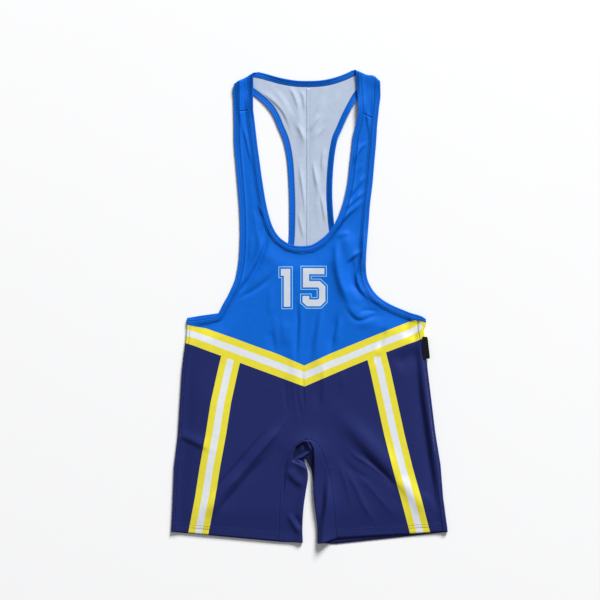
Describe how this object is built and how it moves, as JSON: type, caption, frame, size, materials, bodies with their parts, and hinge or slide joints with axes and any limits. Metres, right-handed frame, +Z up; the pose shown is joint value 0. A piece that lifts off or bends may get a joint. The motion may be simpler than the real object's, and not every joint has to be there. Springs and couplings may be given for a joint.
{
  "type": "wrestling singlet",
  "caption": "Sleeveless one-piece wrestling suit laid flat, front up: scoop neck, long straps, narrow racerback, bound edges, thigh-length legs with turned hems and an inner-leg gusset.",
  "frame": {"origin": "on the floor, below the middle of the laid outline", "axes": "+Y towards the shoulders, +Z up out of the front, the wearer's right at -X"},
  "size_m": [0.4949, 0.848, 0.0072],
  "materials": {
    "front_cloth": "fine knit with a soft satin sheen, printed in blue, navy, yellow and white",
    "back_cloth": "the same knit, its pale inside showing in the racerback",
    "gusset_cloth": "fine knit, navy",
    "binding_cloth": "folded knit strip, blue",
    "label_cloth": "woven tape, black"
  },
  "bodies": {
    "root": {"front_panel": "front_cloth", "back_right": "back_cloth", "back_left": "back_cloth", "leg_gusset": "gusset_cloth", "neck_binding": "binding_cloth", "armhole_binding_right": "binding_cloth", "armhole_binding_left": "binding_cloth", "side_label": "label_cloth"}
  },
  "joints": []
}
